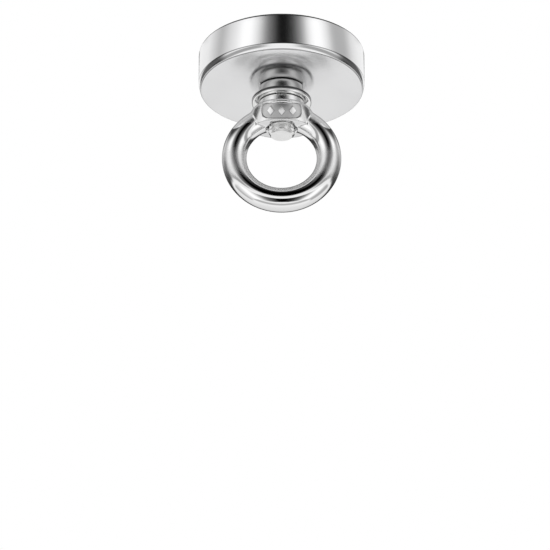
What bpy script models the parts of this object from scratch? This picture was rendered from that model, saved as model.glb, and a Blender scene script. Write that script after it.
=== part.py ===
"""Magnet fishing magnet: a countersunk pot magnet with an eye nut hanging from its back.

Metres, +Z up. The origin is the centre of the holding face, which points up at the steel it
clings to, and the eye hangs below. Run with: blender --background --python part.py
"""
import math

import bmesh
import bpy
from mathutils import Vector

MM = 0.001

# ---- driving dimensions, in metres -------------------------------------------------------
GAP = 0.1 * MM               # between pieces that rest on or fill up to each other

POT_RADIUS = 16.0 * MM       # a 32 mm pot magnet
POT_HEIGHT = 7.8 * MM
POT_WALL = 2.2 * MM
POT_FLOOR = 2.6 * MM
RIM_BEVEL = 0.3 * MM
BACK_BEVEL_IN = 0.28 * MM    # the bevel at the back edge is steep: narrow and tall
BACK_BEVEL_UP = 1.2 * MM
SCREW_HOLE_RADIUS = 2.75 * MM

MAGNET_OUTER = 12.8 * MM
MAGNET_INNER = 6.8 * MM
MAGNET_RECESS = 0.15 * MM
MAGNET_BEVEL = 0.25 * MM
RESIN_RECESS = 0.3 * MM
BUSH_RADIUS = 6.0 * MM
BUSH_RECESS = 0.1 * MM

THREAD_RADIUS = 2.5 * MM     # M5
THREAD_PITCH = 0.8 * MM
THREAD_DEPTH = 0.42 * MM
THREAD_BORE = 2.62 * MM      # plain bore that stands for a tapped M5 thread
SCREW_LENGTH = 17.9 * MM
SCREW_RECESS = 0.15 * MM
SCREW_HEAD_PLAY = 0.15 * MM
SCREW_HEAD_RADIUS = 4.8 * MM
SCREW_HEAD_LAND = 0.2 * MM
SCREW_TIP_RADIUS = 2.1 * MM
SOCKET_ACROSS_FLATS = 3.0 * MM
SOCKET_DEPTH = 1.9 * MM

NUT_RADIUS = 4.65 * MM       # a round nut with two flats for an 8 mm spanner
NUT_ACROSS_FLATS = 8.0 * MM
NUT_HEIGHT = 2.0 * MM
NUT_EDGE = 0.25 * MM
WASHER_RADIUS = 5.75 * MM
WASHER_HEIGHT = 1.1 * MM
WASHER_EDGE = 0.35 * MM

NECK_RADIUS = 4.6 * MM
NECK_HEIGHT = 1.6 * MM
NECK_EDGE = 0.15 * MM
COLLAR_RADIUS = 6.0 * MM
COLLAR_SHOULDER = 0.8 * MM
COLLAR_HEIGHT = 3.75 * MM
COLLAR_BEND = 1.35           # above 1, the collar narrows faster towards the pad
PAD_HALF_WIDTH = 5.9 * MM    # the collar's lower face is an oval, wide across the ring
PAD_HALF_DEPTH = 3.7 * MM
BORE_CHAMFER = 0.4 * MM
RING_RADIUS = 9.1 * MM       # centre of the wire
RING_WIRE = 2.36 * MM
RING_DROP = 15.15 * MM       # ring centre below the pot's back
RING_INTO_COLLAR = 0.35 * MM # where the ring's top is cut off, below the collar's top

POT_SEGMENTS = 80
FINE_SEGMENTS = 40
COLLAR_SEGMENTS = 48
RING_SEGMENTS = 52
WIRE_SEGMENTS = 16
THREAD_SEGMENTS = 16

# ---- heights that follow from them -------------------------------------------------------
BACK_Z = -POT_HEIGHT
CAVITY_RADIUS = POT_RADIUS - POT_WALL
CAVITY_Z = -(POT_HEIGHT - POT_FLOOR)
NUT_TOP = BACK_Z - GAP
WASHER_TOP = NUT_TOP - NUT_HEIGHT - GAP
EYE_TOP = WASHER_TOP - WASHER_HEIGHT - GAP
COLLAR_TOP = EYE_TOP - NECK_HEIGHT
PAD_Z = COLLAR_TOP - COLLAR_HEIGHT
RING_Z = BACK_Z - RING_DROP
SCREW_TOP = -SCREW_RECESS
SCREW_TIP = SCREW_TOP - SCREW_LENGTH


# ---- tools -------------------------------------------------------------------------------
def clear_scene():
    for obj in list(bpy.data.objects):
        bpy.data.objects.remove(obj, do_unlink=True)


def metal(name, colour, roughness, metallic=1.0):
    material = bpy.data.materials.new(name)
    material.use_nodes = True
    shader = material.node_tree.nodes["Principled BSDF"]
    shader.inputs["Base Color"].default_value = (*colour, 1.0)
    shader.inputs["Roughness"].default_value = roughness
    shader.inputs["Metallic"].default_value = metallic
    material.diffuse_color = (*colour, 1.0)
    return material


def add_object(name, bm, material=None):
    """Turn a bmesh into a smooth-shaded object at the origin."""
    mesh = bpy.data.meshes.new(name)
    bm.to_mesh(mesh)
    bm.free()
    mesh.shade_smooth()
    mesh.set_sharp_from_angle(angle=math.radians(32))
    obj = bpy.data.objects.new(name, mesh)
    bpy.context.scene.collection.objects.link(obj)
    if material:
        mesh.materials.append(material)
    return obj


def turned(profile, segments, squash=None):
    """Spin a closed (radius, z) outline about Z. Points on the axis close the shape there."""
    bm = bmesh.new()
    rings = []
    for radius, z in profile:
        if radius < 1e-9:
            rings.append([bm.verts.new((0.0, 0.0, z))])
            continue
        ring = []
        for i in range(segments):
            angle = 2 * math.pi * i / segments
            ring.append(bm.verts.new((radius * math.cos(angle), radius * math.sin(angle), z)))
        rings.append(ring)
    for first, second in zip(rings, rings[1:] + rings[:1]):
        join_rings(bm, first, second)
    if squash:
        for vert in bm.verts:
            squash(vert)
    bmesh.ops.recalc_face_normals(bm, faces=bm.faces)
    return bm


def join_rings(bm, first, second):
    if len(first) == 1 and len(second) == 1:
        return
    count = max(len(first), len(second))
    for i in range(count):
        corners = [first[i % len(first)], first[(i + 1) % len(first)],
                   second[(i + 1) % len(second)], second[i % len(second)]]
        bm.faces.new(list(dict.fromkeys(corners)))


def arc(centre, radii, start, end, steps):
    """Points on an elliptical arc in the (radius, z) plane, angles in degrees."""
    points = []
    for i in range(steps + 1):
        angle = math.radians(start + (end - start) * i / steps)
        points.append((centre[0] + radii[0] * math.cos(angle),
                       centre[1] + radii[1] * math.sin(angle)))
    return points


def cutter(name, bm):
    obj = add_object(name, bm)
    obj.hide_render = True
    obj.display_type = "WIRE"
    return obj


def boolean(obj, other, operation):
    modifier = obj.modifiers.new(other.name, "BOOLEAN")
    modifier.operation = operation
    modifier.solver = "EXACT"
    modifier.object = other


def hexagonal_prism(across_flats, top, bottom):
    bm = bmesh.new()
    radius = across_flats / math.sqrt(3)
    bmesh.ops.create_cone(bm, cap_ends=True, segments=6, radius1=radius, radius2=radius,
                          depth=top - bottom)
    bmesh.ops.translate(bm, vec=(0, 0, (top + bottom) / 2), verts=bm.verts)
    return bm


# ---- sub-parts ---------------------------------------------------------------------------
def make_pot_cup():
    """Steel cup, open upwards, with the screw's hole in its floor."""
    r, w = POT_RADIUS, CAVITY_RADIUS
    profile = [
        (SCREW_HOLE_RADIUS, CAVITY_Z),
        (w, CAVITY_Z),
        (w, -RIM_BEVEL),
        (w + RIM_BEVEL, 0.0),
        (r - RIM_BEVEL, 0.0),
        (r, -RIM_BEVEL),
        (r, BACK_Z + BACK_BEVEL_UP),
        (r - BACK_BEVEL_IN, BACK_Z),
        (SCREW_HOLE_RADIUS, BACK_Z),
    ]
    bm = turned(profile, POT_SEGMENTS)
    return add_object("pot_cup", bm, metal("nickel_plate", (0.72, 0.72, 0.73), 0.12))


def make_ring_magnet():
    outer, inner, bevel = MAGNET_OUTER, MAGNET_INNER, MAGNET_BEVEL
    top = -MAGNET_RECESS
    profile = [
        (inner, top - bevel),
        (inner + bevel, top),
        (outer - bevel, top),
        (outer, top - bevel),
        (outer, CAVITY_Z + GAP),
        (inner, CAVITY_Z + GAP),
    ]
    bm = turned(profile, POT_SEGMENTS)
    return add_object("ring_magnet", bm, metal("magnet_plate", (0.62, 0.62, 0.64), 0.28))


def make_resin_ring(name, inner, outer, segments):
    """Potting resin that fills one of the two gaps beside the magnet."""
    top = -RESIN_RECESS
    profile = [(inner, top), (outer, top), (outer, CAVITY_Z + GAP), (inner, CAVITY_Z + GAP)]
    bm = turned(profile, segments)
    return add_object(name, bm, metal(name + "_resin", (0.05, 0.05, 0.055), 0.45, 0.0))


def make_centre_bush():
    """Steel bush inside the magnet, countersunk at 90 degrees for the screw's head."""
    top = -BUSH_RECESS
    land = SCREW_TOP - SCREW_HEAD_LAND
    mouth = SCREW_HEAD_RADIUS + SCREW_HEAD_PLAY + (top - land)
    cone_end = land - (SCREW_HEAD_RADIUS + SCREW_HEAD_PLAY - SCREW_HOLE_RADIUS)
    profile = [
        (SCREW_HOLE_RADIUS, cone_end),
        (mouth, top),
        (BUSH_RADIUS, top),
        (BUSH_RADIUS, CAVITY_Z + GAP),
        (SCREW_HOLE_RADIUS, CAVITY_Z + GAP),
    ]
    bm = turned(profile, FINE_SEGMENTS)
    return add_object("centre_bush", bm, metal("bush_steel", (0.6, 0.59, 0.57), 0.3))


def threaded_rod(top, bottom):
    """A right-hand M5 thread, as one ridge wound round a core and closed at both ends."""
    turns = math.ceil((top - bottom) / THREAD_PITCH) + 2
    ridge = [  # height within one pitch, radius
        (0.0, THREAD_RADIUS - THREAD_DEPTH),
        (0.36, THREAD_RADIUS),
        (0.5, THREAD_RADIUS),
        (0.86, THREAD_RADIUS - THREAD_DEPTH),
    ]
    bm = bmesh.new()
    start = bottom - THREAD_PITCH
    columns = []
    for step in range(turns * THREAD_SEGMENTS + 1):
        angle = 2 * math.pi * step / THREAD_SEGMENTS
        rise = start + THREAD_PITCH * step / THREAD_SEGMENTS
        columns.append([bm.verts.new((radius * math.cos(angle), radius * math.sin(angle),
                                      rise + THREAD_PITCH * height)) for height, radius in ridge])
    for i, column in enumerate(columns[:-1]):
        following = columns[i + 1]
        for j in range(len(ridge) - 1):
            bm.faces.new((column[j], following[j], following[j + 1], column[j + 1]))
        if i + THREAD_SEGMENTS + 1 < len(columns):
            above, above_next = columns[i + THREAD_SEGMENTS], columns[i + THREAD_SEGMENTS + 1]
            bm.faces.new((column[-1], following[-1], above_next[0], above[0]))
    close_open_edges(bm)
    return bm


def close_open_edges(bm):
    """Cap each open end of the thread with a fan to a point on the axis."""
    edges = [edge for edge in bm.edges if edge.is_boundary]
    middle = sum((edge.verts[0].co.z for edge in edges), 0.0) / len(edges)
    for upper in (False, True):
        rim = [e for e in edges if (e.verts[0].co.z + e.verts[1].co.z > 2 * middle) == upper]
        height = sum((e.verts[0].co.z + e.verts[1].co.z) / 2 for e in rim) / len(rim)
        hub = bm.verts.new((0.0, 0.0, height))
        for edge in rim:
            bm.faces.new((edge.verts[0], edge.verts[1], hub))
    bmesh.ops.recalc_face_normals(bm, faces=bm.faces)


def make_countersunk_screw():
    """Hex-socket countersunk screw, head in the bush and tip below the eye nut."""
    shank_top = SCREW_TOP - SCREW_HEAD_LAND - (SCREW_HEAD_RADIUS - THREAD_RADIUS)
    thread_top = shank_top + 0.25 * MM
    chamfer = THREAD_RADIUS - SCREW_TIP_RADIUS
    head = turned([
        (0.0, SCREW_TOP),
        (SCREW_HEAD_RADIUS, SCREW_TOP),
        (SCREW_HEAD_RADIUS, SCREW_TOP - SCREW_HEAD_LAND),
        (THREAD_RADIUS, shank_top),
        (0.0, shank_top),
    ], FINE_SEGMENTS)
    screw = add_object("countersunk_screw", head, metal("screw_steel", (0.66, 0.65, 0.63), 0.22))
    rod = cutter("thread_guide", threaded_rod(thread_top, SCREW_TIP))
    envelope = cutter("thread_envelope", turned([
        (0.0, thread_top),
        (THREAD_RADIUS + 0.1 * MM, thread_top),
        (THREAD_RADIUS + 0.1 * MM, SCREW_TIP + chamfer + 0.1 * MM),
        (SCREW_TIP_RADIUS, SCREW_TIP),
        (0.0, SCREW_TIP),
    ], 32))
    boolean(rod, envelope, "INTERSECT")
    socket = cutter("socket_cutter",
                    hexagonal_prism(SOCKET_ACROSS_FLATS, MM, SCREW_TOP - SOCKET_DEPTH))
    boolean(screw, rod, "UNION")
    boolean(screw, socket, "DIFFERENCE")
    return screw


def make_jam_nut():
    """Round M5 nut that clamps the screw to the cup, with two spanner flats at its sides."""
    bottom = NUT_TOP - NUT_HEIGHT
    nut = add_object("jam_nut", turned([
        (0.0, NUT_TOP),
        (NUT_RADIUS - NUT_EDGE, NUT_TOP),
        (NUT_RADIUS, NUT_TOP - NUT_EDGE),
        (NUT_RADIUS, bottom + NUT_EDGE),
        (NUT_RADIUS - NUT_EDGE, bottom),
        (0.0, bottom),
    ], FINE_SEGMENTS), metal("nut_steel", (0.7, 0.69, 0.67), 0.18))
    side, reach = NUT_ACROSS_FLATS / 2, 2 * NUT_RADIUS
    flats = cutter("nut_flats", block((-side, -reach, bottom - GAP), (side, reach, NUT_TOP + GAP)))
    bore = cutter("nut_bore", turned([
        (0.0, NUT_TOP + MM),
        (THREAD_BORE, NUT_TOP + MM),
        (THREAD_BORE, bottom - MM),
        (0.0, bottom - MM),
    ], FINE_SEGMENTS))
    boolean(nut, flats, "INTERSECT")
    boolean(nut, bore, "DIFFERENCE")
    return nut


def make_flat_washer():
    top, bottom, edge = WASHER_TOP, WASHER_TOP - WASHER_HEIGHT, WASHER_EDGE
    inner, outer = SCREW_HOLE_RADIUS, WASHER_RADIUS
    profile = [(inner, top)]
    profile += arc((outer - edge, top - edge), (edge, edge), 90, 0, 4)
    profile += arc((outer - edge, bottom + edge), (edge, edge), 0, -90, 4)
    profile += [(inner, bottom)]
    bm = turned(profile, FINE_SEGMENTS)
    return add_object("flat_washer", bm, metal("washer_steel", (0.74, 0.74, 0.73), 0.1))


def collar_outline():
    """Round neck and shoulder, then a collar that closes to the pad."""
    shoulder, side = COLLAR_SHOULDER, COLLAR_RADIUS
    points = [(0.0, EYE_TOP), (NECK_RADIUS - NECK_EDGE, EYE_TOP)]
    points += [(NECK_RADIUS, EYE_TOP - NECK_EDGE), (NECK_RADIUS, COLLAR_TOP)]
    points += arc((side - shoulder, COLLAR_TOP - shoulder), (shoulder, shoulder), 90, 0, 5)
    steps = 8
    for i in range(1, steps + 1):
        points.append((side, COLLAR_TOP - shoulder - i * (COLLAR_HEIGHT - shoulder) / steps))
    points.append((0.0, PAD_Z))
    return points


def flatten_collar(vert):
    """Narrow the collar, front to back, from a circle at its shoulder to the oval pad."""
    shoulder_z = COLLAR_TOP - COLLAR_SHOULDER
    if vert.co.z >= shoulder_z - 1e-9:
        return
    t = (shoulder_z - vert.co.z) / (shoulder_z - PAD_Z)
    bend = t ** COLLAR_BEND
    vert.co.x *= 1 + (PAD_HALF_WIDTH / COLLAR_RADIUS - 1) * bend
    vert.co.y *= 1 + (PAD_HALF_DEPTH / COLLAR_RADIUS - 1) * bend


def wire_ring(radius, wire, height):
    """The eye: a torus standing in the XZ plane."""
    bm = bmesh.new()
    rows = []
    for i in range(RING_SEGMENTS):
        round_eye = 2 * math.pi * (i + 0.5) / RING_SEGMENTS
        row = []
        for j in range(WIRE_SEGMENTS):
            round_wire = 2 * math.pi * j / WIRE_SEGMENTS
            reach = radius + wire * math.cos(round_wire)
            row.append(bm.verts.new((reach * math.cos(round_eye), wire * math.sin(round_wire),
                                     height + reach * math.sin(round_eye))))
        rows.append(row)
    for first, second in zip(rows, rows[1:] + rows[:1]):
        join_rings(bm, first, second)
    bmesh.ops.recalc_face_normals(bm, faces=bm.faces)
    return bm


def block(low, high):
    bm = bmesh.new()
    bmesh.ops.create_cube(bm, size=1.0)
    size = Vector(high) - Vector(low)
    bmesh.ops.scale(bm, vec=size, verts=bm.verts)
    bmesh.ops.translate(bm, vec=(Vector(high) + Vector(low)) / 2, verts=bm.verts)
    return bm


def make_eye_nut():
    """Cast eye nut: neck, collar and ring in one piece."""
    steel = metal("polished_stainless", (0.78, 0.78, 0.78), 0.07)
    eye = add_object("eye_nut", turned(collar_outline(), COLLAR_SEGMENTS, flatten_collar), steel)
    ring = cutter("ring_guide", wire_ring(RING_RADIUS, RING_WIRE, RING_Z))
    reach = RING_RADIUS + RING_WIRE + MM
    above = cutter("above_collar", block((-reach, -reach, COLLAR_TOP - RING_INTO_COLLAR),
                                         (reach, reach, BACK_Z)))
    mouth, inside = THREAD_BORE + BORE_CHAMFER, BORE_CHAMFER - GAP
    bore = cutter("eye_bore", turned([
        (0.0, EYE_TOP + MM),
        (mouth, EYE_TOP + GAP),
        (THREAD_BORE, EYE_TOP - inside),
        (THREAD_BORE, PAD_Z + inside),
        (mouth, PAD_Z - GAP),
        (mouth, PAD_Z - MM),
        (0.0, PAD_Z - MM),
    ], 32))
    boolean(ring, above, "DIFFERENCE")
    boolean(eye, ring, "UNION")
    boolean(eye, bore, "DIFFERENCE")
    return eye


def main():
    clear_scene()
    make_pot_cup()
    make_ring_magnet()
    make_resin_ring("outer_resin_ring", MAGNET_OUTER + GAP, CAVITY_RADIUS - GAP, POT_SEGMENTS)
    make_resin_ring("inner_resin_ring", BUSH_RADIUS + GAP, MAGNET_INNER - GAP, FINE_SEGMENTS)
    make_centre_bush()
    make_countersunk_screw()
    make_jam_nut()
    washer = make_flat_washer()
    eye = make_eye_nut()
    eye.parent = washer      # the loose washer follows the eye as it is unscrewed


main()
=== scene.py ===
"""Looks of the magnet fishing magnet, built around its packed CAD frame.

The file is laid out as an add-on: sizes and finishes are properties, each piece is an operator,
and main() runs them in order. Everything is in metres, in the frame's own place.
"""
import math

import bmesh
import bpy
import numpy as np
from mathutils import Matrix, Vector


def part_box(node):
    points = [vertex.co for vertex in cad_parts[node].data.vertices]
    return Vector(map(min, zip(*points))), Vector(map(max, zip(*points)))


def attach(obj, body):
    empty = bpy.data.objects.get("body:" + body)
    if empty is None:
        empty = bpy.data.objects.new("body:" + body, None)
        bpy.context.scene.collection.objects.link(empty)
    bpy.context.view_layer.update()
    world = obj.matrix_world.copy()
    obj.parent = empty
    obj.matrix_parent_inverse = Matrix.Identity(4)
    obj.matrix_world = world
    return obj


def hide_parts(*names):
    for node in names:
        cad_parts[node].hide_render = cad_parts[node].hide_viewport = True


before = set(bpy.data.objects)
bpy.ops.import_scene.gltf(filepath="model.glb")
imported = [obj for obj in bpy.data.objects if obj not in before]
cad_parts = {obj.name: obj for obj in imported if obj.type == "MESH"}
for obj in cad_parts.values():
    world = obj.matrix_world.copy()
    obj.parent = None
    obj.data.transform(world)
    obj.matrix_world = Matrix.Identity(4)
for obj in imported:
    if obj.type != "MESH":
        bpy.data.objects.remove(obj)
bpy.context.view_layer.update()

bl_info = {
    "name": "Magnet Fishing Magnet",
    "version": (1, 0, 0),
    "blender": (4, 5, 0),
    "location": "View3D > Sidebar > Magnet",
    "description": "Models and finishes a pot magnet with an eye nut, and its studio",
    "category": "Object",
}

MM = 0.001
GAP = 0.1 * MM                   # between pieces that rest on or fill up to each other
HEAD_LAND = 0.2 * MM             # height of the straight edge on the screw's head
HEAD_PLAY = 0.15 * MM            # between the screw's head and the bush
SOCKET_DEPTH = 1.9 * MM
NUT_CHAMFER = 0.3 * MM           # funnels at the mouths of the threaded holes
PAD_CHAMFER = 0.45 * MM
MERGE = 0.0005 * MM              # points closer than this are one point
TOOL_STEPS = 96                  # facets round a cutting tool
FINE_STEPS = 128                 # facets round the screw and the bush
PART_STEPS = 160                 # facets round the other small parts
COLLAR_BEND = 1.35               # above 1, the collar narrows faster towards the pad
MARKS = (-0.56, 0.0, 0.56)       # where the lozenges stand, in half widths of the panel
MARK_WIDTH, MARK_RISE = 0.2, 0.66  # half a lozenge, in half widths and heights of the panel


# ---- places that come from the frame -----------------------------------------------------
def low(node):
    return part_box(node)[0]


def high(node):
    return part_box(node)[1]


CUP_RADIUS = high("pot_cup").x
CUP_BACK = low("pot_cup").z
CAVITY_RADIUS = high("outer_resin_ring").x + GAP
CAVITY_FLOOR = low("ring_magnet").z - GAP
NUT_TOP = high("jam_nut").z
NUT_BOTTOM = low("jam_nut").z
WASHER_TOP = high("flat_washer").z
WASHER_BOTTOM = low("flat_washer").z
EYE_TOP = high("eye_nut").z
EYE_REACH = high("eye_nut").x
EYE_LOW = low("eye_nut").z
COLLAR_RADIUS = high("eye_nut").y
SCREW_TOP = high("countersunk_screw").z
SCREW_TIP = low("countersunk_screw").z
RING_CENTRE = EYE_LOW + EYE_REACH


# ---- properties: what a user would change ------------------------------------------------
def length(name, description, default):
    return bpy.props.FloatProperty(name=name, description=description, default=default,
                                   min=0.0, precision=5, unit="LENGTH")


def share(name, description, default):
    return bpy.props.FloatProperty(name=name, description=description, default=default,
                                   min=0.0, max=1.0, subtype="FACTOR")


def colour(name, description, default):
    return bpy.props.FloatVectorProperty(name=name, description=description, default=default,
                                         size=3, min=0.0, max=1.0, subtype="COLOR")


class CupSizes(bpy.types.PropertyGroup):
    """Sizes of the cup and what it holds."""
    hole: length("Screw Hole", "Radius of the hole in the cup's floor", 2.75 * MM)
    back_bevel_in: length("Back Bevel In", "How far the back bevel comes in", 0.28 * MM)
    back_bevel_up: length("Back Bevel Up", "How far the back bevel goes up", 1.2 * MM)
    edge: length("Edge Rounding", "Width of the rounding on the cup's edges", 0.12 * MM)
    rim: length("Rim Rounding", "Width of the rounding on the holding rim", 0.55 * MM)
    steps: bpy.props.IntProperty(name="Steps Round", description="Facets round the cup",
                                 default=192, min=24, max=512)


class ThreadSizes(bpy.types.PropertyGroup):
    """Sizes of the M5 thread and its fasteners."""
    radius: length("Thread Radius", "Outer radius of the screw's thread", 2.49 * MM)
    pitch: length("Pitch", "Height of one turn", 0.8 * MM)
    depth: length("Thread Depth", "From crest to root", 0.42 * MM)
    tip: length("Tip Radius", "Radius of the screw's flat end", 2.05 * MM)
    head: length("Head Radius", "Radius of the countersunk head", 4.8 * MM)
    socket: length("Hex Socket", "Size across the flats of the key's socket", 3.0 * MM)
    flats: length("Nut Flats", "Size across the flats of the jam nut", 8.0 * MM)
    bore: length("Bore", "Radius left clear for the screw in nut and eye", 2.62 * MM)


class EyeSizes(bpy.types.PropertyGroup):
    """Sizes of the cast eye nut."""
    wire: length("Wire Radius", "Radius of the ring's round section", 2.36 * MM)
    neck: length("Neck Radius", "Radius of the neck under the washer", 4.6 * MM)
    neck_height: length("Neck Height", "From the washer to the collar", 1.6 * MM)
    shoulder: length("Shoulder", "Rounding at the collar's upper edge", 0.8 * MM)
    collar_height: length("Collar Height", "From the collar's top to its pad", 3.75 * MM)
    pad_width: length("Pad Half Width", "Half the pad's size across the ring", 5.9 * MM)
    pad_depth: length("Pad Half Depth", "Half the pad's size through the ring", 3.7 * MM)
    grain: length("Casting Grain", "Cell size at which the casting is blended", 0.14 * MM)
    panel_width: length("Panel Width", "Width of the sunk marking panel", 7.8 * MM)
    panel_height: length("Panel Height", "Height of the sunk marking panel", 2.9 * MM)
    panel_depth: length("Panel Depth", "How far the panel is sunk", 0.32 * MM)
    mark_height: length("Mark Height", "How far the lozenges stand up", 0.22 * MM)


class Finishes(bpy.types.PropertyGroup):
    """Colours and gloss of the metals and the resin."""
    nickel: colour("Nickel", "Bright nickel plating", (0.87, 0.87, 0.875))
    nickel_haze: share("Nickel Haze", "Roughness of the plating", 0.10)
    steel: colour("Polished Steel", "Mirror-polished stainless steel", (0.86, 0.86, 0.86))
    steel_haze: share("Steel Haze", "Roughness of the polished steel", 0.05)
    fastener: colour("Fastener Steel", "Bright fastener steel", (0.82, 0.82, 0.815))
    magnet: colour("Magnet Plating", "Satin plating on the magnet", (0.66, 0.66, 0.68))
    resin: colour("Resin", "Potting resin", (0.018, 0.018, 0.02))


class Studio(bpy.types.PropertyGroup):
    """Camera and surroundings."""
    distance: length("Distance", "From the camera to the cup's back", 1.0)
    elevation: bpy.props.FloatProperty(name="Looking Up", description="Angle of the line of "
                                       "sight above the horizon", default=math.radians(29.4),
                                       subtype="ANGLE")
    lens: bpy.props.FloatProperty(name="Lens", description="Focal length in millimetres",
                                  default=339.3, min=1.0, unit="CAMERA")
    tilt: bpy.props.FloatProperty(name="Tilt Down", description="How far the camera points "
                                  "below the cup's back", default=math.radians(2.05),
                                  subtype="ANGLE")
    aside: length("Aside", "How far the camera stands to the left", 1.27 * MM)
    floor_drop: length("Floor Drop", "From the holding face down to the floor", 0.75)
    floor: colour("Floor", "Pale matt floor", (0.9, 0.9, 0.9))


GROUPS = {"magnet_cup": CupSizes, "magnet_thread": ThreadSizes, "magnet_eye": EyeSizes,
          "magnet_finish": Finishes, "magnet_studio": Studio}


# ---- modelling by hand -------------------------------------------------------------------
def clear_selection():
    active = bpy.context.view_layer.objects.active
    if active and active.mode != "OBJECT":
        bpy.ops.object.mode_set(mode="OBJECT")
    bpy.ops.object.select_all(action="DESELECT")


def only(obj):
    """Make obj the one selected, active object."""
    clear_selection()
    obj.select_set(True)
    bpy.context.view_layer.objects.active = obj
    return obj


def edit(obj):
    only(obj)
    bpy.ops.object.mode_set(mode="EDIT")


def leave():
    bpy.ops.object.mode_set(mode="OBJECT")


def pick(kind, rule):
    """In edit mode, select only the verts, edges or faces that pass the rule."""
    mesh = bpy.context.object.data
    bpy.ops.mesh.select_all(action="DESELECT")
    bpy.context.tool_settings.mesh_select_mode = (kind == "verts", kind == "edges", kind == "faces")
    shape = bmesh.from_edit_mesh(mesh)
    shape.normal_update()
    found = 0
    for part in getattr(shape, kind):
        if rule(part):
            part.select_set(True)
            found += 1
    if not found:
        raise RuntimeError(f"nothing to select among the {kind} of {bpy.context.object.name}")
    shape.select_flush_mode()
    bmesh.update_edit_mesh(mesh)


def on_circle(radius, z, slack=0.002 * MM):
    """A rule for the edges that lie along one circle about Z."""
    def rule(edge):
        return all(abs(v.co.z - z) < slack and abs(math.hypot(v.co.x, v.co.y) - radius) < slack
                   for v in edge.verts)
    return rule


def trace(name, outline):
    """Draw an outline of (radius, z) points in edit mode, extruding corner after corner."""
    clear_selection()
    radius, z = outline[0]
    bpy.ops.mesh.primitive_plane_add(size=MM, location=(radius, 0, z))
    obj = bpy.context.object
    obj.name = obj.data.name = name
    bpy.ops.object.mode_set(mode="EDIT")
    bpy.ops.mesh.select_mode(type="VERT")
    bpy.ops.mesh.select_all(action="SELECT")
    bpy.ops.mesh.merge(type="CENTER")
    here = outline[0]
    for there in outline[1:]:
        step = (there[0] - here[0], 0, there[1] - here[1])
        bpy.ops.mesh.extrude_region_move(TRANSFORM_OT_translate={"value": step})
        here = there
    return obj


def turn(name, outline, steps):
    """Trace an outline and spin it about Z."""
    obj = trace(name, outline)
    bpy.ops.mesh.select_all(action="SELECT")
    bpy.ops.mesh.spin(steps=steps, angle=2 * math.pi, center=(0, 0, 0), axis=(0, 0, 1))
    bpy.ops.mesh.select_all(action="SELECT")
    bpy.ops.mesh.remove_doubles(threshold=MERGE)
    bpy.ops.mesh.normals_make_consistent(inside=False)
    leave()
    settle(obj)
    return obj


def settle(obj):
    """Put the object at the origin with its place in its mesh."""
    only(obj)
    bpy.ops.object.transform_apply(location=True, rotation=True, scale=True)


def round_over(obj, circles, width, segments=3):
    """Round the circular edges given as (radius, z)."""
    edit(obj)
    for radius, z in circles:
        pick("edges", on_circle(radius, z))
        bpy.ops.mesh.bevel(offset=width, segments=segments, affect="EDGES")
    leave()


def hexagon(name, flats, top, bottom):
    clear_selection()
    bpy.ops.mesh.primitive_cylinder_add(vertices=6, radius=flats / math.sqrt(3),
                                        depth=top - bottom, location=(0, 0, (top + bottom) / 2))
    obj = bpy.context.object
    obj.name = obj.data.name = name
    settle(obj)
    return obj


def carve(obj, tool, operation="DIFFERENCE"):
    """Apply a Boolean with a tool that is used up."""
    only(obj)
    modifier = obj.modifiers.new("carve", "BOOLEAN")
    modifier.operation = operation
    modifier.solver = "EXACT"
    modifier.object = tool
    bpy.ops.object.modifier_apply(modifier=modifier.name)
    only(tool)
    bpy.ops.object.delete()
    only(obj)


def smooth(obj, degrees=30):
    only(obj)
    bpy.ops.object.shade_smooth_by_angle(angle=math.radians(degrees))


def finish_piece(obj, material, body, slot, *nodes):
    """Give a piece its finish and hand it to the frame."""
    obj.data.materials.clear()
    obj.data.materials.append(material)
    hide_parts(*nodes)
    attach(obj, body)


# ---- shader maths ------------------------------------------------------------------------
class Value:
    """A shader socket that Python's operators work on."""

    def __init__(self, shader, socket):
        self.shader = shader
        self.socket = socket

    def maths(self, operation, *others):
        return self.shader.node("ShaderNodeMath", {"operation": operation}, self, *others)

    def __add__(self, other):
        return self.maths("ADD", other)

    def __sub__(self, other):
        return self.maths("SUBTRACT", other)

    def __rsub__(self, other):
        return self.shader.node("ShaderNodeMath", {"operation": "SUBTRACT"}, other, self)

    def __mul__(self, other):
        return self.maths("MULTIPLY", other)

    def __truediv__(self, other):
        return self.maths("DIVIDE", other)

    def __pow__(self, other):
        return self.maths("POWER", other)

    __radd__ = __add__
    __rmul__ = __mul__

    def absolute(self):
        return self.maths("ABSOLUTE")

    def ramp(self, start, end):
        """0 below start, 1 above end, smooth between, for start below or above end."""
        settings = {"interpolation_type": "SMOOTHSTEP"}
        if start < end:
            return self.shader.node("ShaderNodeMapRange", settings, self, start, end, 0.0, 1.0)
        return self.shader.node("ShaderNodeMapRange", settings, self, end, start, 1.0, 0.0)


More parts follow.
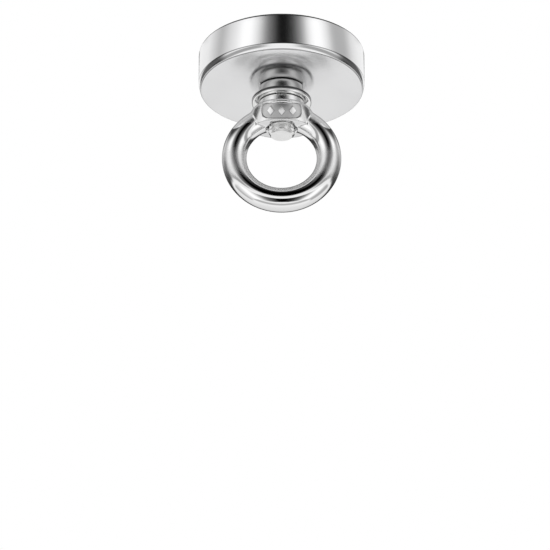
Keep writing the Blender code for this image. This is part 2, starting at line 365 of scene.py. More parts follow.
class Shader:
    """Builds one material's or world's nodes."""

    def __init__(self, name, tree):
        self.name = name
        self.tree = tree
        self.tree.nodes.clear()

    def node(self, kind, settings=None, *inputs, out=0, **named):
        """Add a node, set its settings, then its sockets, and return one of its outputs."""
        made = self.tree.nodes.new(kind)
        for key, value in (settings or {}).items():
            setattr(made, key, value)
        for index, value in [*enumerate(inputs), *named.items()]:
            key = index if isinstance(index, int) else index.replace("_", " ")
            self.fill(made.inputs[key], value)
        return Value(self, made.outputs[out]) if made.outputs else None

    def fill(self, socket, value):
        if isinstance(value, Value):
            self.tree.links.new(value.socket, socket)
        elif value is not None:
            socket.default_value = value

    def place(self):
        """Object coordinates in millimetres, as (vector, x, y, z)."""
        metres = self.node("ShaderNodeTexCoord", out="Object")
        vector = self.node("ShaderNodeVectorMath", {"operation": "SCALE"}, metres, Scale=1 / MM)
        return self.split(vector)

    def split(self, vector):
        parts = self.node("ShaderNodeSeparateXYZ", None, vector)
        outputs = parts.socket.node.outputs
        return [vector] + [Value(self, outputs[axis]) for axis in "XYZ"]

    def towards(self, direction, aim):
        """Cosine between the direction and an aim."""
        return self.node("ShaderNodeVectorMath", {"operation": "DOT_PRODUCT"}, direction, aim,
                         out="Value")

    def profile(self, value, stops):
        """Read a level from 0 to 2 off a list of (value, level) stops."""
        first, last = stops[0][0], stops[-1][0]
        ramp = self.node("ShaderNodeValToRGB", None, (value - first) / (last - first))
        elements = ramp.socket.node.color_ramp.elements
        for stop, level in stops[1:-1]:
            elements.new((stop - first) / (last - first)).color = (*[level / 2] * 3, 1.0)
        for element, (_, level) in ((elements[0], stops[0]), (elements[-1], stops[-1])):
            element.color = (*[level / 2] * 3, 1.0)
        return ramp * 2.0

    def noise(self, vector, scale, detail=2.0, roughness=0.5):
        return self.node("ShaderNodeTexNoise", None, Vector=vector, Scale=scale, Detail=detail,
                         Roughness=roughness)

    def blend(self, factor, first, second):
        """Mix two colours."""
        mixed = self.node("ShaderNodeMix", {"data_type": "RGBA"}, out=2)
        sockets = mixed.socket.node.inputs
        self.fill(sockets[0], factor)
        self.fill(sockets[6], first)
        self.fill(sockets[7], second)
        return mixed

    def relief(self, height, distance, below=None):
        """A Bump node: height from 0 to 1, distance in millimetres."""
        return self.node("ShaderNodeBump", None, Strength=1.0, Distance=distance * MM,
                         Height=height, Normal=below)


def rgb(colour_value, level=1.0):
    return (*[c * level for c in colour_value], 1.0)


def surface(name, build, **constants):
    """A Principled material. build(shader) returns its Base Color, Roughness and Normal."""
    material = bpy.data.materials.new(name)
    material.use_nodes = True
    shader = Shader(name, material.node_tree)
    base, roughness, normal = build(shader)
    shown = shader.node("ShaderNodeBsdfPrincipled", None, Base_Color=base, Roughness=roughness,
                        Normal=normal)
    for key, value in constants.items():
        shown.socket.node.inputs[key.replace("_", " ")].default_value = value
    shader.node("ShaderNodeOutputMaterial", None, shown)
    return material


def radius_of(x, y):
    return (x * x + y * y) ** 0.5


def band(value, centre, half_width, fade):
    """1 within half_width of the centre, falling to 0 over fade."""
    return (value - centre).absolute().ramp(half_width + fade, half_width)


def nickel_plate():
    """Bright plating: turned grooves on the back, wipe haze, worn edges, and painted dark shade along
    the bevel's top and foot and just under the holding rim.
    """
    finish = bpy.context.scene.magnet_finish
    sizes = bpy.context.scene.magnet_cup
    back = CUP_BACK / MM
    bevel_top = back + sizes.back_bevel_up / MM
    bevel_foot = (CUP_RADIUS - sizes.back_bevel_in) / MM

    def build(shader):
        vector, x, y, z = shader.place()
        radius = radius_of(x, y)
        on_back = z.ramp(back + 0.05, back + 0.01)
        cloud = shader.noise(vector, 0.16, 3.0)
        specks = shader.noise(vector, 2.6, 2.0).ramp(0.62, 0.8)
        grooves = shader.noise(shader.node("ShaderNodeCombineXYZ", None, radius * 9.0, 0.0, 0.0),
                               1.0, 3.0, 0.6)
        edge = z.ramp(-0.5, -0.05) + on_back * radius.ramp(15.2, 15.7)
        base = shader.blend(cloud.ramp(0.35, 0.7) * 0.6, rgb(finish.nickel),
                            rgb(finish.nickel, 0.965))
        base = shader.blend(specks * 0.25, base, rgb(finish.nickel, 0.9))
        # Painted shade: near-black bands along the top of the back bevel, at the bevel's foot on the
        # near side only, and just under the holding rim, standing in for the shade along those edges.
        foot = band(radius, bevel_foot - 0.16, 0.03, 0.16) * on_back * y.ramp(2.0, -4.0)
        rim = band(z, -0.26, 0.1, 0.12) * radius.ramp(CUP_RADIUS / MM - 0.7, CUP_RADIUS / MM - 0.4)
        painted_edge_shade = band(z, bevel_top, 0.03, 0.14) + foot + rim
        base = shader.blend(painted_edge_shade * 0.8, base, rgb(finish.nickel, 0.12))
        roughness = cloud * 0.03 + edge * 0.05 + specks * 0.03 + (finish.nickel_haze - 0.02)
        roughness = roughness + on_back * 0.09
        normal = shader.relief(grooves * on_back, 0.006)
        normal = shader.relief(shader.noise(vector, 0.5, 1.0), 0.0012, normal)
        return base, roughness, normal

    return surface("nickel_plate", build, Metallic=1.0, Anisotropic=1.0)


def polished_steel():
    """Mirror-polished casting: orange peel, hairlines, duller mid-ring, collar and panel, and painted
    shade darkening the sunk panel round its lozenges.
    """
    finish = bpy.context.scene.magnet_finish
    sizes = bpy.context.scene.magnet_eye
    rubbed_top = RING_CENTRE / MM + 3.5
    collar_top = (EYE_TOP - sizes.neck_height) / MM
    pad = collar_top - sizes.collar_height / MM
    middle, up = panel_place(sizes)
    half_width, half_height = sizes.panel_width / 2 / MM, sizes.panel_height / 2 / MM

    def build(shader):
        vector, x, y, z = shader.place()
        peel = shader.noise(vector, 0.9, 2.0)
        cloud = shader.noise(vector, 0.25, 2.0)
        stretched = shader.node("ShaderNodeCombineXYZ", None, x * 0.6, y * 0.6, z * 7.0)
        hairline = shader.noise(stretched, 1.4, 4.0, 0.7).ramp(0.66, 0.78)
        base = shader.blend(cloud.ramp(0.3, 0.7) * 0.5, rgb(finish.steel),
                            rgb(finish.steel, 0.95))
        along = ((y - middle.y / MM) * up.y + (z - middle.z / MM) * up.z).absolute()
        sunk = (x.absolute().ramp(half_width, half_width - 0.25)
                * along.ramp(half_height, half_height - 0.25) * y.ramp(-2.6, -3.2))
        for spot in MARKS:
            reach = (x - spot * half_width).absolute() / (MARK_WIDTH * half_width)
            reach = reach + along / (MARK_RISE * half_height)
            sunk = sunk * reach.ramp(0.8, 1.05)
        # Painted shade: the sunk panel, all but its raised lozenges, is darkened to stand in for the
        # shade in the recess.
        base = shader.blend(sunk * 0.9, base, rgb(finish.steel, 0.62))
        rubbed = z.ramp(rubbed_top, rubbed_top - 4.0) * z.ramp(rubbed_top - 10.0, rubbed_top - 6.5)
        roughness = cloud * 0.03 + hairline * 0.06 + (finish.steel_haze - 0.015)
        collar = z.ramp(pad - 0.1, pad + 0.3) * z.ramp(collar_top, collar_top - 0.5)
        roughness = roughness + rubbed * 0.3 + sunk * 0.1 + collar * 0.2
        normal = shader.relief(peel, 0.004)
        return base, roughness, normal

    return surface("polished_stainless", build, Metallic=1.0, Specular_Tint=(0.35, 0.35, 0.35, 1))


def turned_steel(name, tone, haze, grooves_per_mm, depth, shade_band=None):
    """Steel with the fine rings that a lathe leaves. The optional last argument gives (start, full,
    from radius) of painted shade: a near-black band standing in for the shade where nut and washer
    meet.
    """
    finish = bpy.context.scene.magnet_finish

    def build(shader):
        vector, x, y, z = shader.place()
        along = shader.node("ShaderNodeCombineXYZ", None, (radius_of(x, y) + z) * grooves_per_mm,
                            0.0, 0.0)
        rings = shader.noise(along, 1.0, 2.0)
        cloud = shader.noise(vector, 0.6, 3.0)
        base = shader.blend(cloud, rgb(finish.fastener, tone), rgb(finish.fastener, tone * 0.86))
        roughness = cloud * 0.08 + rings * 0.04 + haze
        if shade_band:
            # Painted shade: darkens the steel to near black, and makes it rougher, where nut and washer
            # meet.
            shade_mask = (z + cloud * 0.1 - 0.05).ramp(shade_band[0] / MM, shade_band[1] / MM)
            shade_mask = shade_mask * radius_of(x, y).ramp(shade_band[2] / MM - 0.05, shade_band[2] / MM + 0.05)
            base = shader.blend(shade_mask * 0.93, base, rgb((0.03, 0.03, 0.032)))
            roughness = roughness + shade_mask * 0.25
        return base, roughness, shader.relief(rings, depth)

    return surface(name, build, Metallic=1.0)


def magnet_plate():
    """Satin plating over sintered stock: fine pitting and rubbed streaks."""
    finish = bpy.context.scene.magnet_finish

    def build(shader):
        vector, x, y, z = shader.place()
        pits = shader.noise(vector, 5.0, 3.0).ramp(0.58, 0.7)
        rubbed = shader.noise(shader.node("ShaderNodeCombineXYZ", None, x * 0.25, y * 6.0, z),
                              1.0, 3.0)
        base = shader.blend(rubbed * 0.7, rgb(finish.magnet), rgb(finish.magnet, 0.84))
        roughness = rubbed * 0.16 + pits * 0.1 + 0.2
        return base, roughness, shader.relief(rubbed + pits * 0.6, 0.006)

    return surface("magnet_plate", build, Metallic=1.0)


def potting_resin():
    """Dark resin that set with a slightly wavy, dusty skin."""
    finish = bpy.context.scene.magnet_finish

    def build(shader):
        vector = shader.place()[0]
        wave = shader.noise(vector, 1.3, 3.0)
        dust = shader.noise(vector, 7.0, 2.0).ramp(0.6, 0.75)
        base = shader.blend(dust * 0.5, rgb(finish.resin), rgb((0.09, 0.088, 0.085)))
        roughness = wave * 0.2 + dust * 0.25 + 0.25
        return base, roughness, shader.relief(wave, 0.05)

    return surface("potting_resin", build, Metallic=0.0, Specular_IOR_Level=0.5)


# ---- pieces ------------------------------------------------------------------------------
class MAGNET_OT_cup(bpy.types.Operator):
    """Model the nickel-plated steel cup"""
    bl_idname = "magnet.cup"
    bl_label = "Steel Cup"

    def execute(self, context):
        sizes = context.scene.magnet_cup
        cone_top = CUP_BACK + sizes.back_bevel_up
        back_radius = CUP_RADIUS - sizes.back_bevel_in
        cup = turn("steel_cup", [
            (sizes.hole, CAVITY_FLOOR),
            (CAVITY_RADIUS, CAVITY_FLOOR),
            (CAVITY_RADIUS, 0.0),
            (CUP_RADIUS, 0.0),
            (CUP_RADIUS, cone_top),
            (back_radius, CUP_BACK),
            (sizes.hole, CUP_BACK),
            (sizes.hole, CAVITY_FLOOR),
        ], sizes.steps)
        round_over(cup, [(CUP_RADIUS, 0.0), (CAVITY_RADIUS, 0.0)], sizes.rim, 4)
        round_over(cup, [(CUP_RADIUS, cone_top), (back_radius, CUP_BACK)], sizes.edge)
        round_over(cup, [(sizes.hole, CUP_BACK)], 2 * sizes.edge)
        smooth(cup)
        finish_piece(cup, nickel_plate(), "magnet", "nickel_plate", "pot_cup")
        return {"FINISHED"}


class MAGNET_OT_ring_magnet(bpy.types.Operator):
    """Model the sintered ring magnet"""
    bl_idname = "magnet.ring_magnet"
    bl_label = "Ring Magnet"

    def execute(self, context):
        outer, top = high("ring_magnet").x, high("ring_magnet").z
        inner, bottom = high("inner_resin_ring").x + GAP, low("ring_magnet").z
        magnet = turn("sintered_ring", [(inner, bottom), (outer, bottom), (outer, top),
                                        (inner, top), (inner, bottom)], PART_STEPS)
        round_over(magnet, [(outer, top), (inner, top)], 0.3 * MM, 4)
        round_over(magnet, [(outer, bottom), (inner, bottom)], 0.15 * MM, 2)
        smooth(magnet)
        finish_piece(magnet, magnet_plate(), "magnet", "magnet_plate", "ring_magnet")
        return {"FINISHED"}


class MAGNET_OT_potting(bpy.types.Operator):
    """Model the two rings of potting resin, each sunk in its middle where the resin shrank"""
    bl_idname = "magnet.potting"
    bl_label = "Potting Resin"

    def execute(self, context):
        resin = potting_resin()
        edges = {
            "outer_potting": ("outer_resin_ring", high("ring_magnet").x + GAP),
            "inner_potting": ("inner_resin_ring", high("centre_bush").x + GAP),
        }
        for name, (node, inner) in edges.items():
            outer, top, bottom = high(node).x, high(node).z, low(node).z
            middle, sag = (outer + inner) / 2, 0.18 * (outer - inner)
            quarter = (outer - inner) / 4
            ring = turn(name, [
                (inner, bottom), (outer, bottom), (outer, top),
                (middle + quarter, top - 0.75 * sag), (middle, top - sag),
                (middle - quarter, top - 0.75 * sag), (inner, top), (inner, bottom),
            ], PART_STEPS)
            smooth(ring, 40)
            finish_piece(ring, resin, "magnet", "resin", node)
        return {"FINISHED"}


class MAGNET_OT_bush(bpy.types.Operator):
    """Model the countersunk steel bush"""
    bl_idname = "magnet.bush"
    bl_label = "Centre Bush"

    def execute(self, context):
        thread = context.scene.magnet_thread
        hole = context.scene.magnet_cup.hole
        outer, top, bottom = high("centre_bush").x, high("centre_bush").z, low("centre_bush").z
        land = SCREW_TOP - HEAD_LAND
        mouth = thread.head + HEAD_PLAY + (top - land)
        cone_end = land - (thread.head + HEAD_PLAY - hole)
        bush = turn("countersunk_bush", [(hole, cone_end), (mouth, top), (outer, top),
                                         (outer, bottom), (hole, bottom), (hole, cone_end)],
                    FINE_STEPS)
        round_over(bush, [(mouth, top), (outer, top)], 0.07 * MM)
        smooth(bush)
        finish = turned_steel("bush_steel", 0.9, 0.2, 7.0, 0.01)
        finish_piece(bush, finish, "magnet", "bush_steel", "centre_bush")
        return {"FINISHED"}


def thread_outline(radius, depth, pitch):
    """One pitch of thread as (radius, height): round crest, rounder root."""
    root = radius - depth
    return [(root, 0.0), (root + 0.08 * depth, 0.1 * pitch), (radius - 0.1 * depth, 0.38 * pitch),
            (radius, 0.44 * pitch), (radius, 0.52 * pitch),
            (radius - 0.1 * depth, 0.58 * pitch), (root + 0.08 * depth, 0.86 * pitch),
            (root, 0.96 * pitch), (root, pitch)]


def threaded_rod(name, radius, depth, pitch, top, bottom, steps=48):
    """Wind one ridge up the rod with a Screw modifier, then close both ends."""
    start = bottom - pitch
    turns = math.ceil((top - start) / pitch) + 1
    rod = trace(name, [(r, start + h) for r, h in thread_outline(radius, depth, pitch)])
    leave()
    settle(rod)
    screw = rod.modifiers.new("thread", "SCREW")
    screw.angle = 2 * math.pi
    screw.screw_offset = pitch
    screw.iterations = turns
    screw.steps = screw.render_steps = steps
    screw.use_merge_vertices = True
    screw.merge_threshold = MERGE
    bpy.ops.object.modifier_apply(modifier=screw.name)
    edit(rod)
    bpy.ops.mesh.select_all(action="SELECT")
    bpy.ops.mesh.remove_doubles(threshold=MERGE)
    ends = (start + pitch, start + turns * pitch)
    for end in ends:
        pick("edges", lambda e: e.is_boundary
             and abs((e.verts[0].co.z + e.verts[1].co.z) / 2 - end) < 1.2 * pitch)
        bpy.ops.mesh.extrude_region_move()
        bpy.ops.mesh.merge(type="CENTER")
    bpy.ops.mesh.select_all(action="SELECT")
    bpy.ops.mesh.normals_make_consistent(inside=False)
    leave()
    return rod


class MAGNET_OT_screw(bpy.types.Operator):
    """Model the countersunk screw with its hex socket and rolled thread"""
    bl_idname = "magnet.screw"
    bl_label = "Countersunk Screw"

    def execute(self, context):
        thread = context.scene.magnet_thread
        shank_top = SCREW_TOP - HEAD_LAND - (thread.head - thread.radius)
        screw = turn("socket_screw", [
            (0.0, SCREW_TOP), (thread.head, SCREW_TOP), (thread.head, SCREW_TOP - HEAD_LAND),
            (thread.radius, shank_top), (0.0, shank_top)], FINE_STEPS)
        round_over(screw, [(thread.head, SCREW_TOP)], 0.07 * MM)
        socket = hexagon("socket_tool", thread.socket, MM, SCREW_TOP - SOCKET_DEPTH)
        carve(screw, socket)
        mouth = thread.socket / math.sqrt(3) + 0.05 * MM
        above = SCREW_TOP + mouth / 2
        funnel = turn("mouth_tool", [(0.0, above), (1.5 * mouth, above),
                                     (0.0, SCREW_TOP - mouth)], 64)
        carve(screw, funnel)
        rod_top = shank_top + 0.25 * MM
        rod = threaded_rod("rod", thread.radius, thread.depth, thread.pitch, rod_top, SCREW_TIP)
        slope = thread.radius - thread.tip
        envelope = turn("envelope_tool", [
            (0.0, rod_top), (thread.radius + 0.1 * MM, rod_top),
            (thread.radius + 0.1 * MM, SCREW_TIP + slope + 0.1 * MM),
            (thread.tip, SCREW_TIP), (0.0, SCREW_TIP)], TOOL_STEPS)
        carve(rod, envelope, "INTERSECT")
        carve(screw, rod, "UNION")
        smooth(screw, 28)
        finish = turned_steel("screw_steel", 1.12, 0.12, 5.0, 0.006)
        finish_piece(screw, finish, "magnet", "screw_steel", "countersunk_screw")
        return {"FINISHED"}


class MAGNET_OT_jam_nut(bpy.types.Operator):
    """Model the round nut behind the cup, with its two spanner flats"""
    bl_idname = "magnet.jam_nut"
    bl_label = "Jam Nut"

    def execute(self, context):
        thread = context.scene.magnet_thread
        radius = high("jam_nut").y
        nut = turn("round_nut", [(0.0, NUT_TOP), (radius, NUT_TOP), (radius, NUT_BOTTOM),
                                 (0.0, NUT_BOTTOM)], PART_STEPS)
        round_over(nut, [(radius, NUT_TOP), (radius, NUT_BOTTOM)], 0.25 * MM, 4)
        edit(nut)
        for side in (-1, 1):
            bpy.ops.mesh.select_all(action="SELECT")
            bpy.ops.mesh.bisect(plane_co=(side * thread.flats / 2, 0, 0),
                                plane_no=(side, 0, 0), use_fill=True, clear_outer=True)
        leave()
        mouth, inside = thread.bore + NUT_CHAMFER, NUT_CHAMFER - GAP
        bore = turn("bore_tool", [
            (0.0, NUT_TOP + MM), (mouth, NUT_TOP + GAP), (thread.bore, NUT_TOP - inside),
            (thread.bore, NUT_BOTTOM + inside), (mouth, NUT_BOTTOM - GAP),
            (0.0, NUT_BOTTOM - MM)], TOOL_STEPS)
        carve(nut, bore)
        edit(nut)

        def round_a_flat(edge):
            return (edge.calc_face_angle(0) > math.radians(10)
                    and all(abs(abs(v.co.x) - thread.flats / 2) < 2 * MERGE for v in edge.verts))

        pick("edges", round_a_flat)
        bpy.ops.mesh.bevel(offset=0.06 * MM, segments=2, affect="EDGES")
        leave()
        smooth(nut, 20)
        # The last tuple paints shade on the nut's lower outer edge, next to the washer.
        finish = turned_steel("nut_steel", 0.66, 0.1, 3.0, 0.004,
                              (NUT_BOTTOM + 0.4 * MM, NUT_BOTTOM + 0.05 * MM, 3.2 * MM))
        finish_piece(nut, finish, "magnet", "nut_steel", "jam_nut")
        return {"FINISHED"}


class MAGNET_OT_washer(bpy.types.Operator):
    """Model the tumbled flat washer"""
    bl_idname = "magnet.washer"
    bl_label = "Flat Washer"

    def execute(self, context):
        hole, outer = context.scene.magnet_cup.hole, high("flat_washer").x
        washer = turn("tumbled_washer", [(hole, WASHER_BOTTOM), (outer, WASHER_BOTTOM),
                                         (outer, WASHER_TOP), (hole, WASHER_TOP),
                                         (hole, WASHER_BOTTOM)], PART_STEPS)
        round_over(washer, [(outer, WASHER_TOP), (outer, WASHER_BOTTOM)], 0.38 * MM, 5)
        round_over(washer, [(hole, WASHER_TOP), (hole, WASHER_BOTTOM)], 0.1 * MM)
        smooth(washer, 40)
        # The last tuple paints shade on the washer's upper rounded edge, next to the nut.
        finish = turned_steel("washer_steel", 1.12, 0.06, 1.5, 0.003,
                              (WASHER_TOP - 0.85 * MM, WASHER_TOP - 0.55 * MM, outer - 0.34 * MM))
        finish_piece(washer, finish, "washer", "washer_steel", "flat_washer")
        return {"FINISHED"}


def cast_body(sizes):
    """Neck and collar: a disc extruded down and scaled, level by level."""
    clear_selection()
    bpy.ops.mesh.primitive_cylinder_add(vertices=FINE_STEPS, radius=sizes.neck, depth=sizes.neck_height,
                                        location=(0, 0, EYE_TOP - sizes.neck_height / 2))
    body = bpy.context.object
    body.name = body.data.name = "cast_eye"
    settle(body)
    collar_top = EYE_TOP - sizes.neck_height
    pad = collar_top - sizes.collar_height
    levels = []                      # (z, half width, half depth)
    start = COLLAR_RADIUS - sizes.shoulder
    for i in range(7):
        angle = math.pi / 2 * i / 6
        reach = start + sizes.shoulder * math.sin(angle)
        levels.append((collar_top - sizes.shoulder * (1 - math.cos(angle)), reach, reach))
    shoulder_z = levels[-1][0]
    for i in range(1, 15):
        t = i / 14
        bend = t ** COLLAR_BEND
        levels.append((shoulder_z + (pad - shoulder_z) * t,
                       COLLAR_RADIUS + (sizes.pad_width - COLLAR_RADIUS) * bend,
                       COLLAR_RADIUS + (sizes.pad_depth - COLLAR_RADIUS) * bend))
    edit(body)
    pick("faces", lambda f: f.normal.z < -0.9)
    here = (collar_top, sizes.neck, sizes.neck)
    for there in levels:
        drop = (0, 0, there[0] - here[0])
        bpy.ops.mesh.extrude_region_move(TRANSFORM_OT_translate={"value": drop})
        bpy.ops.transform.resize(value=(there[1] / here[1], there[2] / here[2], 1),
                                 center_override=(0, 0, there[0]))
        here = there
    leave()
    return body


def ring_wire(sizes):
    """The ring, cut off above the collar's seat."""
    clear_selection()
    bpy.ops.mesh.primitive_torus_add(major_segments=180, minor_segments=64,
                                     major_radius=EYE_REACH - sizes.wire,
                                     minor_radius=sizes.wire, location=(0, 0, RING_CENTRE),
                                     rotation=(math.pi / 2, 0, 0))
    ring = bpy.context.object
    settle(ring)
    edit(ring)
    bpy.ops.mesh.select_all(action="SELECT")
    seat = EYE_TOP - sizes.neck_height - 0.3 * MM
    bpy.ops.mesh.bisect(plane_co=(0, 0, seat), plane_no=(0, 0, 1), use_fill=True,
                        clear_outer=True)
    leave()
    return ring


def blend_casting(body, ring, sizes):
    """Join body and ring into one skin with the soft fillets of a polished casting."""
    clear_selection()
    ring.select_set(True)
    body.select_set(True)
    bpy.context.view_layer.objects.active = body
    bpy.ops.object.join()
    skin = body.modifiers.new("skin", "REMESH")
    skin.mode = "VOXEL"
    skin.voxel_size = sizes.grain
    bpy.ops.object.modifier_apply(modifier=skin.name)
    soften = body.modifiers.new("soften", "SMOOTH")
    soften.factor = 0.5
    soften.iterations = 8
    bpy.ops.object.modifier_apply(modifier=soften.name)


def panel_place(sizes):
    """Middle of the collar's sloping front, and the direction up along it."""
    front_low = Vector((0.0, -sizes.pad_depth, EYE_TOP - sizes.neck_height - sizes.collar_height))
    front_high = Vector((0.0, -COLLAR_RADIUS, EYE_TOP - sizes.neck_height - sizes.shoulder))
    up = (front_high - front_low).normalized()
    return (front_low + front_high) / 2 - up * 0.12 * MM, up


def sink_panel(body, sizes):
    """Refine the collar's front, sink a rounded panel into it and raise three lozenges."""
    half_width, half_height = sizes.panel_width / 2, sizes.panel_height / 2
    middle, up = panel_place(sizes)
    outward = Vector((0.0, -up.z, up.y))
    margin = 0.35 * MM

    def in_zone(face):
        spot = face.calc_center_median() - middle
        return (abs(spot.x) < half_width + margin and abs(spot.dot(up)) < half_height + margin
                and face.normal.dot(outward) > 0.3)

    edit(body)
    pick("faces", in_zone)
    bpy.ops.mesh.subdivide(number_cuts=2)
    bpy.ops.mesh.vertices_smooth(factor=0.5, repeat=8)
    leave()
    count = len(body.data.vertices)
    co = np.empty(count * 3)
    body.data.vertices.foreach_get("co", co)
    co = co.reshape(-1, 3)
    normals = np.empty(count * 3)
    body.data.vertices.foreach_get("normal", normals)
    normals = normals.reshape(-1, 3)
    across = co[:, 0]
    along = (co - np.array(middle)) @ np.array(up)
    facing = normals @ np.array(outward) > 0.3
    sunk = rounded_box(across, along, half_width, half_height, 0.8 * half_height)
    depth = sizes.panel_depth * step(sunk, 0.12 * MM)
    lift = np.zeros(count)
    for offset in MARKS:
        sideways = np.abs(across - offset * half_width) / (MARK_WIDTH * half_width)
        upright = np.abs(along) / (MARK_RISE * half_height)
        lozenge = (1.0 - sideways - upright) * 0.5 * MM
        lift = np.maximum(lift, sizes.mark_height * step(lozenge - 0.02 * MM, 0.1 * MM))
    move = np.where(facing, lift * (depth > 0) - depth, 0.0)
    co = co + normals * move[:, None]
    body.data.vertices.foreach_set("co", co.ravel())
    body.data.update()


def rounded_box(x, y, half_x, half_y, radius):
    """Distance inside a rounded rectangle, positive inside."""
    qx = np.abs(x) - (half_x - radius)
    qy = np.abs(y) - (half_y - radius)
    outside = np.hypot(np.maximum(qx, 0), np.maximum(qy, 0))
    return radius - outside - np.minimum(np.maximum(qx, qy), 0)


def step(distance, width):
    """0 to 1 as distance goes from minus to plus half the width, smoothly."""
    t = np.clip(distance / width + 0.5, 0, 1)
    return t * t * (3 - 2 * t)


class MAGNET_OT_eye(bpy.types.Operator):
    """Model the polished eye nut: neck, collar with its panel, and ring"""
    bl_idname = "magnet.eye"
    bl_label = "Eye Nut"

    def execute(self, context):
        sizes = context.scene.magnet_eye
        bore = context.scene.magnet_thread.bore
        eye = cast_body(sizes)
        blend_casting(eye, ring_wire(sizes), sizes)
        sink_panel(eye, sizes)
        pad = EYE_TOP - sizes.neck_height - sizes.collar_height
        hole = turn("hole_tool", [
            (0.0, EYE_TOP + MM), (bore + 1.0 * MM, EYE_TOP + 0.6 * MM),
            (bore, EYE_TOP - 0.4 * MM), (bore, pad + PAD_CHAMFER - GAP),
            (bore + PAD_CHAMFER, pad - GAP), (bore + PAD_CHAMFER, pad - MM),
            (0.0, pad - MM)], TOOL_STEPS)
        carve(eye, hole)
        smooth(eye, 40)
        finish_piece(eye, polished_steel(), "eye", "polished_stainless", "eye_nut")
        return {"FINISHED"}


# ---- studio ------------------------------------------------------------------------------
# How bright the surround is: (degrees round from the front, positive to the right; level).
SURROUND = ((-180, 1.0), (-125, 0.93), (-95, 0.5), (-87, 0.62), (-79, 0.77), (-66, 0.95),
            (-56, 1.2), (-44, 1.2), (-35, 0.92), (-29, 0.66), (-24, 0.38), (-18, 0.19),
            (-10, 0.08), (-4, 0.0), (5, 0.0), (10, 0.02), (15, 0.05), (21, 0.15), (27, 0.3),
            (32, 0.53), (38, 0.93), (46, 1.2), (56, 1.2), (62, 1.05), (69, 0.85), (76, 0.55),
            (83, 0.47), (100, 0.5), (118, 0.85), (135, 0.97), (180, 1.0))


# How much of the light each dark cloth takes away.
CLOTHS = {"skyline": 0.86, "horizon": 0.6, "beyond": 0.9, "ceiling": 0.92}


def studio_world(sight):
    """White surround with a dark gap at the front between two bright soft boxes, and with dark
    cloth at the sides of the horizon, overhead, and behind the piece along the line of sight."""
    world = bpy.data.worlds.new("studio")
    world.use_nodes = True
    bpy.context.scene.world = world
    shader = Shader("studio", world.node_tree)
    direction = shader.node("ShaderNodeTexCoord", out="Generated")
    x, y, z = shader.split(direction)[1:]
    degrees = 180 / math.pi
    azimuth = shader.node("ShaderNodeMath", {"operation": "ARCTAN2"}, x, y * -1.0) * degrees
    elevation = shader.node("ShaderNodeMath", {"operation": "ARCSINE"}, z) * degrees
    around = shader.profile(azimuth, SURROUND)
    sides = azimuth.absolute()
    aloft = elevation.ramp(4.0, 14.0) * elevation.ramp(62.0, 46.0)
    skyline = band(sides, 140.0, 50.0, 16.0) * band(elevation, 7.0, 13.0, 7.0)
    horizon = sides.ramp(12.0, 30.0) * band(elevation, 2.0, 3.0, 4.0)
    strip = band(elevation, 26.5, 6.0, 3.0) * band(sides, 143.0, 22.0, 6.0)
    beyond = shader.towards(direction, sight).ramp(0.66, 0.97) * (1.0 - strip)
    ceiling = elevation.ramp(38.0, 52.0)
    light = 1.0 + (around - 1.0) * aloft
    skyline = skyline * (1.0 - strip)
    for cloth, depth in zip((skyline, horizon, beyond, ceiling), CLOTHS.values()):
        light = light * (1.0 - cloth * depth)
    mirrored = (sight[0], sight[1], -sight[2])
    belt = band(shader.towards(direction, mirrored), 0.12, 0.08, 0.15)
    ground = 1.02 - shader.towards(direction, mirrored).ramp(0.3, 0.8) * 0.145
    ground = ground * (1.0 - belt * elevation.ramp(-28.0, -36.0) * 0.5)
    low_front = band(elevation, -30.0, 14.0, 5.0) * sides.ramp(115.0, 95.0)
    ground = ground + (around - ground) * low_front
    below = elevation.ramp(-3.0, -12.0)
    light = light * (1.0 - below) + ground * below
    backdrop = shader.blend(elevation.ramp(0.0, -8.0), (1, 1, 1, 1), (0.93, 0.93, 0.93, 1))
    plain = shader.node("ShaderNodeBackground", None, backdrop, 1.0)
    lit = shader.node("ShaderNodeBackground", None, (1, 1, 1, 1), light)
    seen = shader.node("ShaderNodeLightPath", out="Is Camera Ray")
    mixed = shader.node("ShaderNodeMixShader", None, seen, lit, plain)
    shader.node("ShaderNodeOutputWorld", None, mixed)


def matt_floor(tone):
    def build(shader):
        vector = shader.place()[0]
        grain = shader.noise(vector, 0.05, 4.0)
        base = shader.blend(grain, rgb(tone), rgb(tone, 0.97))
        return base, grain * 0.1 + 0.8, shader.relief(grain, 0.2)

    return surface("matt_floor", build, Specular_IOR_Level=0.2)


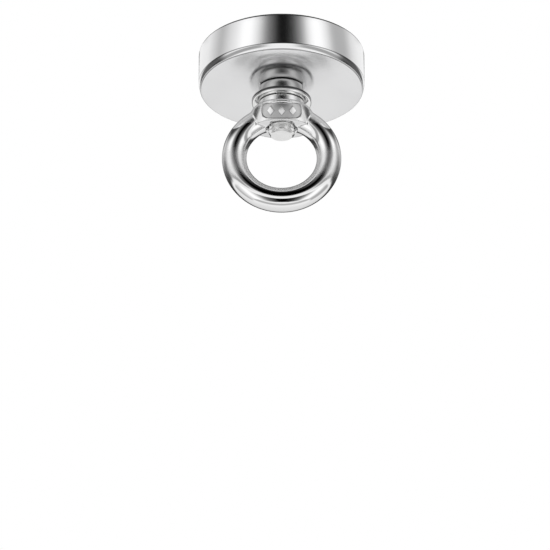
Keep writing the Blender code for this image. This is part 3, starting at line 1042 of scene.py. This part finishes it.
class MAGNET_OT_studio(bpy.types.Operator):
    """Set up the floor, light and camera"""
    bl_idname = "magnet.studio"
    bl_label = "Studio"

    def execute(self, context):
        studio = context.scene.magnet_studio
        clear_selection()
        bpy.ops.mesh.primitive_circle_add(vertices=96, radius=4.0, fill_type="NGON",
                                          location=(0, 0, -studio.floor_drop))
        floor = context.object
        floor.name = floor.data.name = "floor"
        settle(floor)
        floor.data.materials.append(matt_floor(studio.floor))
        floor.visible_glossy = False
        aim = studio.elevation - studio.tilt
        studio_world((0.0, math.cos(aim), math.sin(aim)))
        clear_selection()
        bpy.ops.object.light_add(type="AREA", location=(-0.35, -0.5, 0.9))
        key = context.object
        key.name = "soft_key"
        key.data.shape = "DISK"
        key.data.size = 0.9
        key.data.energy = 8.0
        key.visible_glossy = False
        key.rotation_euler = (Vector((0, 0, 0)) - key.location).to_track_quat("-Z", "Y").to_euler()
        sight = Vector((0, math.cos(studio.elevation), math.sin(studio.elevation)))
        place = Vector((-studio.aside, 0, CUP_BACK)) - sight * studio.distance
        bpy.ops.object.camera_add(location=place, rotation=(math.pi / 2 + aim, 0, 0))
        camera = context.object
        camera.data.lens = studio.lens
        camera.data.sensor_width = 36.0
        camera.data.clip_start = 0.05
        camera.data.clip_end = 20.0
        context.scene.camera = camera
        context.scene.view_settings.view_transform = "Standard"
        return {"FINISHED"}


OPERATORS = (MAGNET_OT_cup, MAGNET_OT_ring_magnet, MAGNET_OT_potting, MAGNET_OT_bush,
             MAGNET_OT_screw, MAGNET_OT_jam_nut, MAGNET_OT_washer, MAGNET_OT_eye,
             MAGNET_OT_studio)


class MAGNET_PT_panel(bpy.types.Panel):
    """Lists the pieces and their sizes"""
    bl_idname = "MAGNET_PT_panel"
    bl_label = "Magnet"
    bl_space_type = "VIEW_3D"
    bl_region_type = "UI"
    bl_category = "Magnet"

    def draw(self, context):
        for operator in OPERATORS:
            self.layout.operator(operator.bl_idname)
        for group, kind in GROUPS.items():
            box = self.layout.box()
            box.label(text=kind.__doc__)
            for name in kind.__annotations__:
                box.prop(getattr(context.scene, group), name)


def register():
    for kind in (*GROUPS.values(), *OPERATORS, MAGNET_PT_panel):
        bpy.utils.register_class(kind)
    for group, kind in GROUPS.items():
        setattr(bpy.types.Scene, group, bpy.props.PointerProperty(type=kind))


def unregister():
    for group in GROUPS:
        delattr(bpy.types.Scene, group)
    for kind in (MAGNET_PT_panel, *reversed(OPERATORS), *reversed(GROUPS.values())):
        bpy.utils.unregister_class(kind)


def main():
    register()
    for operator in OPERATORS:
        group, name = operator.bl_idname.split(".")
        getattr(getattr(bpy.ops, group), name)()
    clear_selection()


if __name__ == "__main__":
    main()
